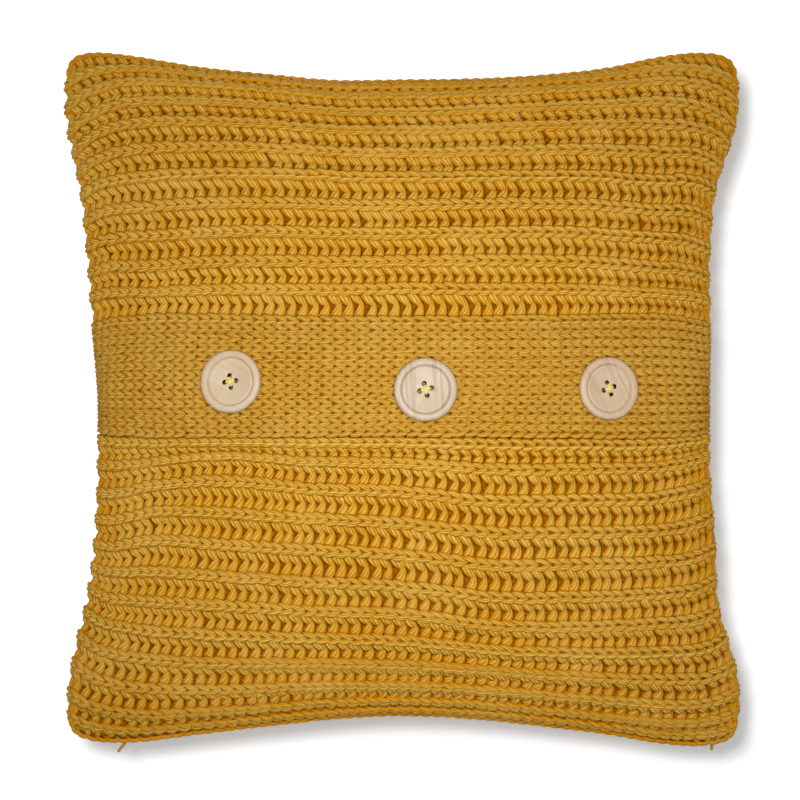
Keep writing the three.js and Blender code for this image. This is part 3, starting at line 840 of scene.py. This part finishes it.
def stitch_points(row, width, stitch):
    """One stitch on a rib at row v, with its places across scaled to the rib's width."""
    along, across, depth, radius = whole_loop(stitch).T
    return np.stack([along, row + across * width, -MM * depth, radius], -1)


def strand_points(row, after, width, strand):
    """Strand through the hollow between two ribs, from edge to edge, thinner in a narrow hollow."""
    along, share, depth, radius = np.array(strand, float).T
    high, low = row - width / 2.0, after + width / 2.0
    thin = min(1.0, max(high - low, NARROW_HOLLOW) / FULL_HOLLOW) ** 0.5
    return np.stack([along, high + (low - high) * share, -MM * depth, thin * radius], -1)


def course_points(rows, before, after, width, stitch, strand):
    """Points of one course over its rows, with the strands to the rows before and after, and the
    number of the stitch that each point belongs to."""
    parts = [] if before is None else [strand_points(before, rows[0], width, strand)]
    for row, following in zip(rows, [*rows[1:], after]):
        parts.append(stitch_points(row, width, stitch))
        if following is not None:
            parts.append(strand_points(row, following, width, strand))
    owner = np.concatenate([np.full(len(part), order) for order, part in enumerate(parts)])
    return np.concatenate(parts), owner


def drift(u, v):
    """Slow drift of the courses from row to row, in courses: a few long waves over the cover."""
    return sum(size * np.sin(across * u + up * v + start) for size, across, up, start in DRIFT)


def knit(name, sheet, points, owner, settings, material, steps, sides, seed, level=None):
    """Strands of all courses: the points of one course repeated at each course's u, strayed stitch by
    stitch, curved, laid on the sheet at their depth and made round."""
    cover, yarn = settings
    rng = np.random.default_rng(seed)
    pitch = 2.0 / yarn.courses
    centres = -1.0 + pitch * (np.arange(yarn.courses + 2) - 0.5)
    stray = rng.normal(0.0, yarn.unevenness, (4, len(centres), owner.max() + 1))[:, :, owner]
    along = points[None, :, 0] + stray[0]
    t = centres[:, None] + pitch * (along + drift(centres[:, None], points[None, :, 1]))
    v = points[None, :, 1] + stray[1] * yarn.rib_width * ROW_STRAY
    depth = points[None, :, 2] + stray[2] * DEPTH_STRAY
    thick = points[None, :, 3] * (1.0 + stray[3])
    path = smooth_path(np.stack([t, v, depth, thick], -1), steps)
    before, u, after = (
        course_place(cover, path[..., 0] + shift) for shift in (-pitch / 2, 0.0, pitch / 2))
    v = np.clip(path[..., 1], -FOLD_LIMIT, FOLD_LIMIT)
    base = 0.0 if level is None else level(u, v)
    normal = outward(cover, sheet, u, v)
    surface = SHEETS[sheet][0]
    crest = surface(cover, u, v)
    flat = np.minimum(1.0, EDGE_FLAT + room_at(cover, crest) / (cover.yarn_depth + cover.hollow_depth))
    laid = crest + normal * (path[..., 2] * flat + base)[..., None]
    open_by = np.linalg.norm(surface(cover, after, v) - surface(cover, before, v), axis=-1)
    radii = yarn.radius * path[..., 3] * np.clip(open_by / OPEN_COURSE, *OPEN_RANGE) ** 0.5
    rounds, faces, uvs = tubes(laid, normal, radii, sides, STRAND_WIDE, STRAND_TALL)
    rounds[..., 2] = np.maximum(rounds[..., 2], 0.0)
    piece = add_object(name, rounds, faces, material, uvs,
                       ring_rise(path[..., 2], radii * STRAND_TALL, sides))
    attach(piece, "root")
    return piece


class CUSHION_OT_ribs(bpy.types.Operator):
    """Knits the ribbed front above and below the band, and the ribbed back"""

    bl_idname = "cushion.ribs"
    bl_label = "Ribbed cover"

    def execute(self, context):
        cover, yarn = context.scene.cushion_cover, context.scene.cushion_yarn
        material = yarn_material(yarn, "mustard_yarn", 1.0)
        width = yarn.rib_width
        half = len(BACK_ROWS) // 2
        panels = (
            ("rib_front_top", "front", UPPER_RIBS[:TOP_RIBS], TOP_FOLD, UPPER_RIBS[TOP_RIBS]),
            ("rib_front_upper", "front", UPPER_RIBS[TOP_RIBS:], None, BAND_TOP - width / 2.0),
            ("rib_front_lower", "front", LOWER_RIBS, None, HEM_RIBS[0]),
            ("rib_front_hem", "front", HEM_RIBS, None, BOTTOM_FOLD),
            ("rib_back_upper", "back", BACK_ROWS[:half], TOP_FOLD, BACK_ROWS[half]),
            ("rib_back_lower", "back", BACK_ROWS[half:], None, BOTTOM_FOLD),
        )
        for seed, (name, sheet, rows, before, after) in enumerate(panels):
            points, owner = course_points(rows, before, after, width, RIB_STITCH, HOLLOW_STRAND)
            steps, sides = (yarn.steps, yarn.sides) if sheet == "front" else BACK_STRAND
            knit(name, sheet, points, owner, (cover, yarn), material, steps, sides, seed)
        return {"FINISHED"}


class CUSHION_OT_band(bpy.types.Operator):
    """Knits the plain band over its inner sheet"""

    bl_idname = "cushion.band"
    bl_label = "Button band"

    def execute(self, context):
        cover, yarn = context.scene.cushion_cover, context.scene.cushion_yarn
        width = (BAND_TOP - BAND_EDGE) / BAND_WALES
        rows = BAND_TOP - width * (np.arange(BAND_WALES) + 0.5)
        points, owner = course_points(tuple(rows), None, None, width, BAND_STITCH, BAND_LINK)

        def level(u, v):
            """Crest level of the band over the cover's."""
            return band_seat(u, v) + CLEARANCE + BAND_THICKNESS

        # The band's yarn is the rib yarn painted a shade darker: painted shade
        stitches = knit("band_stitches", "front", points, owner, (cover, yarn),
                        yarn_material(yarn, "band_yarn", yarn.band_shade), yarn.steps, yarn.sides,
                        BAND_SEED, level)
        u, v = np.meshgrid(np.linspace(-BAND_END, BAND_END, BAND_GRID[0]),
                           np.linspace(BAND_EDGE, BAND_TOP, BAND_GRID[1]))
        normal = outward(cover, "front", u, v)
        base = front_surface(cover, u, v)
        layers = [base + normal * (band_seat(u, v) + CLEARANCE + lift)[..., None]
                  for lift in BAND_LAYERS]
        count = u.size
        index = np.arange(count).reshape(u.shape)
        inner = cells_of(index)[:, OTHER_WAY]
        rim = np.concatenate([index[0], index[1:, -1], index[-1, -2::-1], index[-2:0:-1, 0]])
        nearby = np.roll(rim, -1)
        walls = np.stack([rim, nearby, nearby + count, rim + count], -1)
        faces = np.concatenate([inner, inner[:, ::-1] + count, walls])
        # The band's inner sheet takes the lining's painted shade
        sheet = add_object("band_inner", np.concatenate([p.reshape(-1, 3) for p in layers]), faces,
                           bpy.data.materials["deep_knit"])
        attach(sheet, "root")
        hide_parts("button_band")
        return {"FINISHED"}


# Seams and folds

def half_outline(cover, fold):
    """Outline from the middle of the left seam over a fold to the middle of the right seam, at even
    steps along it, with its corners eased by a bell curve and its seams set in, and the level direction
    away from the cushion."""
    step, ease, stations = 0.5 * MM, 2.0 * MM, 400
    t = np.linspace(0.0, 1.0, stations)
    u = np.concatenate([-np.ones_like(t), 2.0 * t[1:] - 1.0, np.ones_like(t)[1:]])
    v = fold * np.concatenate([t, np.ones_like(t)[1:], 1.0 - t[1:]])
    _, _, x, y = plan(cover, u, v)
    inset = SEAM_INSET * smooth_step(1.0 - np.abs(v), *SEAM_INSET_RISE)
    gone = run_along(np.stack([x, y], -1))
    place = np.arange(0.0, gone[-1], step)
    reach = int(4.0 * ease / step)
    bell = np.exp(-0.5 * (np.arange(-reach, reach + 1) * step / ease) ** 2)
    x, y = (np.convolve(np.pad(np.interp(place, gone, axis), reach, mode="reflect", reflect_type="odd"),
                        bell / bell.sum(), mode="valid") for axis in (x, y))
    along = unit(np.gradient(np.stack([x, y], -1), axis=0))
    away = np.stack([-along[:, 1], along[:, 0], np.zeros(len(along))], -1) * np.sign(fold)
    middle = centred(x, y, np.full(len(x), seam_height(cover)))
    return place, middle - away * np.interp(place, gone, inset)[:, None], away


class CUSHION_OT_edges(bpy.types.Operator):
    """Knits the chain of stitches along the side seams and folds"""

    bl_idname = "cushion.edges"
    bl_label = "Seams and folds"

    def execute(self, context):
        for name, fold in (("edge_chain_top", TOP_FOLD), ("edge_chain_bottom", BOTTOM_FOLD)):
            self.chain(name, fold, context.scene.cushion_cover, context.scene.cushion_yarn)
        return {"FINISHED"}

    def chain(self, name, fold, cover, yarn):
        """Row of stitches along half the outline: the stitch table laid along it, its width upright."""
        place, line, away = half_outline(cover, fold)
        stitches = int(place[-1] / EDGE_PITCH)
        pitch = place[-1] / stitches
        loop = whole_loop(EDGE_STITCH)
        stray = np.random.default_rng(EDGE_SEED).normal(0.0, yarn.unevenness, (2, stitches, 1))
        along = pitch * (np.arange(stitches)[:, None] + 0.5 + loop[:, 0] + stray[0])
        depth = MM * (loop[:, 2] + stray[1])
        points = np.stack(np.broadcast_arrays(along, loop[:, 1], depth, loop[:, 3]), -1)
        path = smooth_path(points, yarn.steps)
        at = np.clip(path[..., 0], 0.0, place[-1])
        here, level = (np.stack([np.interp(at, place, axis) for axis in rows.T], -1)
                       for rows in (line, away))
        normal = unit(level)
        upright = np.array(UPRIGHT) * (path[..., 1] * EDGE_WIDTH)[..., None]
        laid = here - normal * path[..., 2:3] + upright
        radii = yarn.radius * path[..., 3]
        parts = [(*tubes(laid, normal, radii, yarn.sides), ring_rise(-path[..., 2], radii, yarn.sides))]
        if fold == BOTTOM_FOLD:
            parts += [self.loose_end(cover, yarn, *facts) for facts in LOOSE_ENDS]
        points, faces, uvs, rise = zip(*parts)
        starts = np.cumsum([0] + [part.size // 3 for part in points])
        piece = add_object(name, np.concatenate([part.reshape(-1, 3) for part in points]),
                           np.concatenate([part + start for part, start in zip(faces, starts)]),
                           bpy.data.materials["mustard_yarn"], np.concatenate(uvs),
                           np.concatenate([part.ravel() for part in rise]))
        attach(piece, "root")

    def loose_end(self, cover, yarn, u, lean, length):
        """Cut end of yarn that hangs out of the bottom fold at u: level steps away from the fold that
        lean sideways and sink."""
        _, _, x, y = plan(cover, np.array(u), np.array(BOTTOM_FOLD))
        run = np.array([LOOSE_ROOT, *(share * length for share in LOOSE_RUN)])
        out = np.maximum(run, 0.0)
        path = centred(x, y, seam_height(cover)) + np.stack([lean * out, -run, -LOOSE_SINK * out], -1)
        path = smooth_path(path[None], 3)
        radii = yarn.radius * np.linspace(*LOOSE_TAPER, path.shape[1])[None]
        normal = np.broadcast_to(np.array(UPRIGHT), path.shape)
        rise = ring_rise(np.zeros_like(radii), radii, yarn.sides)
        return (*tubes(path, normal, radii, yarn.sides), rise)


# Buttons

def turned(x, y, angle):
    """Places turned round the upright axis."""
    return x * math.cos(angle) - y * math.sin(angle), x * math.sin(angle) + y * math.cos(angle)


def button_place(name):
    """Middle of a button's back and the turn from upright to its axis, from its solid's points: the
    axis is the direction in which they spread least."""
    points = np.unique(np.round(points_of(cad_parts[f"button_{name}"].data), 6), axis=0)
    middle = points.mean(0)
    axis = np.linalg.svd(points - middle, full_matrices=False)[2][2]
    axis = axis * np.sign(axis[2])
    seat = middle + axis * ((points - middle) @ axis).min()
    lean = Vector(UPRIGHT).rotation_difference(Vector(axis)).to_matrix().to_4x4()
    turn = Matrix.Rotation(math.radians(BUTTONS[name]["turn"]), 4, "Z")
    return Matrix.Translation(Vector(seat)) @ lean @ turn


def lathe(section, sides):
    """Turned form: a half section carried round the upright axis, closed at both poles."""
    radius, height = section[1:-1].T[:, :, None]
    angle = TURN * np.arange(sides) / sides
    ring = np.stack(np.broadcast_arrays(radius * np.cos(angle), radius * np.sin(angle), height), -1)
    index = np.arange(radius.size * sides).reshape(-1, sides)
    after = np.roll(index, -1, axis=1)
    faces = cells_of(closed(index)).tolist()
    faces += np.stack([np.full(sides, index.size), after[0], index[0]], -1).tolist()
    faces += np.stack([np.full(sides, index.size + 1), index[-1], after[-1]], -1).tolist()
    poles = [[0.0, 0.0, section[0, 1]], [0.0, 0.0, section[-1, 1]]]
    return np.concatenate([ring.reshape(-1, 3), poles]), faces


def drilled(piece, sizes):
    """Cuts the thread holes, each tapered and with an eased mouth, by a boolean that is applied."""
    reach, height, ease = sizes.hole_radius, sizes.thickness, HOLE_EASE
    narrow, mouth = HOLE_TAPER * reach, DISH * height
    section = np.array([(0.0, -height), (narrow, -height), (narrow, 0.0), (reach, mouth - ease),
                        (reach + 0.3 * ease, mouth - 0.3 * ease), (reach + ease, mouth),
                        (reach + ease, 2 * height), (0.0, 2 * height)])
    points, faces = lathe(section, HOLE_SIDES)
    angle = TURN * np.arange(HOLES) / HOLES
    middles = sizes.hole_circle * np.stack([np.cos(angle), np.sin(angle), np.zeros(HOLES)], -1)
    mesh = bpy.data.meshes.new("drills")
    mesh.from_pydata((points[None] + middles[:, None]).reshape(-1, 3).tolist(), [],
                     [[corner + len(points) * hole for corner in face]
                      for hole in range(HOLES) for face in faces])
    drill = bpy.data.objects.new("drills", mesh)
    bpy.context.scene.collection.objects.link(drill)
    cut = piece.modifiers.new("holes", "BOOLEAN")
    cut.operation = "DIFFERENCE"
    cut.solver = "EXACT"
    cut.object = drill
    done = bpy.data.meshes.new_from_object(piece.evaluated_get(bpy.context.evaluated_depsgraph_get()))
    piece.modifiers.remove(cut)
    piece.data = done
    bpy.data.objects.remove(drill)


class CUSHION_OT_buttons(bpy.types.Operator):
    """Turns the three wooden buttons and sews each on with a cross of thread"""

    bl_idname = "cushion.buttons"
    bl_label = "Buttons"

    def execute(self, context):
        sizes = context.scene.cushion_buttons
        thread = thread_material(sizes)
        for name, facts in BUTTONS.items():
            place = button_place(name)
            self.button(name, facts, place, sizes)
            self.cross(name, place, sizes, thread)
        return {"FINISHED"}

    def button(self, name, facts, place, sizes):
        """Button turned from its section, drilled, with the grain's own coordinates on its points."""
        section = np.array(BUTTON_SECTION) * (sizes.radius, sizes.thickness)
        curve = np.concatenate([section[:1], smooth_path(section[None, 1:-1], 4)[0], section[-1:]])
        points, faces = lathe(curve, sizes.sides)
        piece = add_object(f"wood_button_{name}", points, faces,
                           wood_material(f"pale_wood_{name}", sizes, facts["strength"], facts["tone"]))
        drilled(piece, sizes)
        mesh = piece.data
        x, y, z = points_of(mesh).T
        grain = np.stack([*turned(x, y, math.radians(facts["turn"] - facts["grain"])), z], -1)
        stored = mesh.attributes.new("grain", "FLOAT_VECTOR", "POINT")
        stored.data.foreach_set("vector", grain.astype(np.float32).ravel())
        mesh.transform(place)
        mesh.update()
        mesh.shade_smooth()
        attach(piece, "root")
        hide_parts(f"button_{name}")

    def cross(self, name, place, sizes, material):
        """Strands of thread over the dish from hole to opposite hole, side by side, in two directions."""
        thick = sizes.thread_radius
        hole, back = (sizes.hole_circle - share * sizes.hole_radius + THREAD_GAP * thick
                      for share in (1.0, HOLE_TAPER))
        rise = DISH * sizes.thickness + np.array(THREAD_RISE) * thick
        side = np.array([(back, THREAD_FOOT), (hole, rise[0]), (hole - THREAD_BEND, rise[1]),
                         (0.5 * hole, rise[2])])
        x, z = np.concatenate([side, [(0.0, rise[3])], side[::-1] * (-1.0, 1.0)]).T
        paths = []
        for turn, over in ((0.0, 0.0), (math.pi / 2.0, THREAD_OVER * thick)):
            high = z + over * np.exp(-(x / (THREAD_BULGE * hole)) ** 2)
            for offset in THREAD_STRANDS:
                lift = THREAD_MIDDLE * thick if offset == 0.0 else 0.0
                aside = turned(x, offset * thick * np.array(THREAD_FAN), turn)
                paths.append(np.stack([*aside, high + lift], -1))
        path = smooth_path(np.array(paths), 3)
        normal = np.broadcast_to(np.array(THREAD_NORMAL), path.shape)
        rounds, faces, uvs = tubes(path, normal, np.full(path.shape[:2], thick), THREAD_SIDES)
        piece = add_object(f"cross_thread_{name}", rounds, faces, material, uvs, rounds[..., 2])
        piece.data.transform(place)
        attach(piece, "root")
        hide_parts(f"button_thread_{name}")


# Stage

class CUSHION_OT_stage(bpy.types.Operator):
    """Lays the pale floor and sets the camera above and the soft lights"""

    bl_idname = "cushion.stage"
    bl_label = "Stage"

    def execute(self, context):
        scene, sizes = context.scene, context.scene.cushion_stage
        corners = sizes.floor_size * np.array([(-1, -1, 0), (1, -1, 0), (1, 1, 0), (-1, 1, 0)], float)
        floor = add_object("floor", corners, [[0, 1, 2, 3]], floor_material())
        camera = bpy.data.cameras.new("camera")
        camera.sensor_width = SENSOR
        camera.lens = camera.sensor_width * sizes.camera_height / sizes.picture_width
        camera.clip_end = FAR_CLIP
        eye = bpy.data.objects.new("camera", camera)
        eye.location = (sizes.aim_x, sizes.aim_y, seam_height(scene.cushion_cover) + sizes.camera_height)
        scene.collection.objects.link(eye)
        scene.camera = eye
        for name, facts in LIGHTS.items():
            self.soft_box(scene, name, *facts, getattr(sizes, name), floor)
        world = bpy.data.worlds.new("studio")
        scene.world = world
        world.use_nodes = True
        sky = world.node_tree.nodes["Background"]
        sky.inputs["Color"].default_value = (1.0, 1.0, 1.0, 1.0)
        sky.inputs["Strength"].default_value = sizes.sky
        scene.view_settings.view_transform = "Standard"
        scene.view_settings.look = "None"
        return {"FINISHED"}

    def soft_box(self, scene, name, place, size, spread, state, energy, floor):
        """Square soft light aimed at the cushion, which leaves out the floor or lights it alone."""
        lamp = bpy.data.lights.new(name, "AREA")
        lamp.shape = "SQUARE"
        lamp.size = size
        lamp.energy = energy
        lamp.spread = math.radians(spread)
        box = bpy.data.objects.new(name, lamp)
        box.location = place
        box.rotation_euler = (-Vector(place)).to_track_quat("-Z", "Y").to_euler()
        scene.collection.objects.link(box)
        receivers = bpy.data.collections.new(f"lit_by_{name}")
        receivers.objects.link(floor)
        receivers.collection_objects[0].light_linking.link_state = state
        box.light_linking.receiver_collection = receivers


class CUSHION_PT_panel(bpy.types.Panel):
    """Lists the cushion's pieces"""

    bl_idname = "CUSHION_PT_panel"
    bl_label = "Knitted cushion"
    bl_space_type = "VIEW_3D"
    bl_region_type = "UI"
    bl_category = "Cushion"

    def draw(self, context):
        for operator in OPERATORS:
            self.layout.operator(operator.bl_idname)
        for group in PROPERTIES:
            sizes = getattr(context.scene, group)
            for name in sizes.__annotations__:
                self.layout.prop(sizes, name)


PROPERTIES = {
    "cushion_cover": CoverSizes,
    "cushion_yarn": YarnSizes,
    "cushion_buttons": ButtonSizes,
    "cushion_stage": StageSizes,
}
OPERATORS = (
    CUSHION_OT_stage,
    CUSHION_OT_filling,
    CUSHION_OT_ribs,
    CUSHION_OT_band,
    CUSHION_OT_edges,
    CUSHION_OT_buttons,
)


def register():
    """Registers the sizes, the operators and the panel."""
    for name, group in PROPERTIES.items():
        bpy.utils.register_class(group)
        setattr(bpy.types.Scene, name, bpy.props.PointerProperty(type=group))
    for operator in OPERATORS:
        bpy.utils.register_class(operator)
    bpy.utils.register_class(CUSHION_PT_panel)


def unregister():
    """Takes the panel, the operators and the sizes away."""
    bpy.utils.unregister_class(CUSHION_PT_panel)
    for operator in reversed(OPERATORS):
        bpy.utils.unregister_class(operator)
    for name, group in PROPERTIES.items():
        delattr(bpy.types.Scene, name)
        bpy.utils.unregister_class(group)


def main():
    """Makes every piece."""
    register()
    bpy.ops.cushion.stage()
    bpy.ops.cushion.filling()
    bpy.ops.cushion.ribs()
    bpy.ops.cushion.band()
    bpy.ops.cushion.edges()
    bpy.ops.cushion.buttons()


if __name__ == "__main__":
    main()
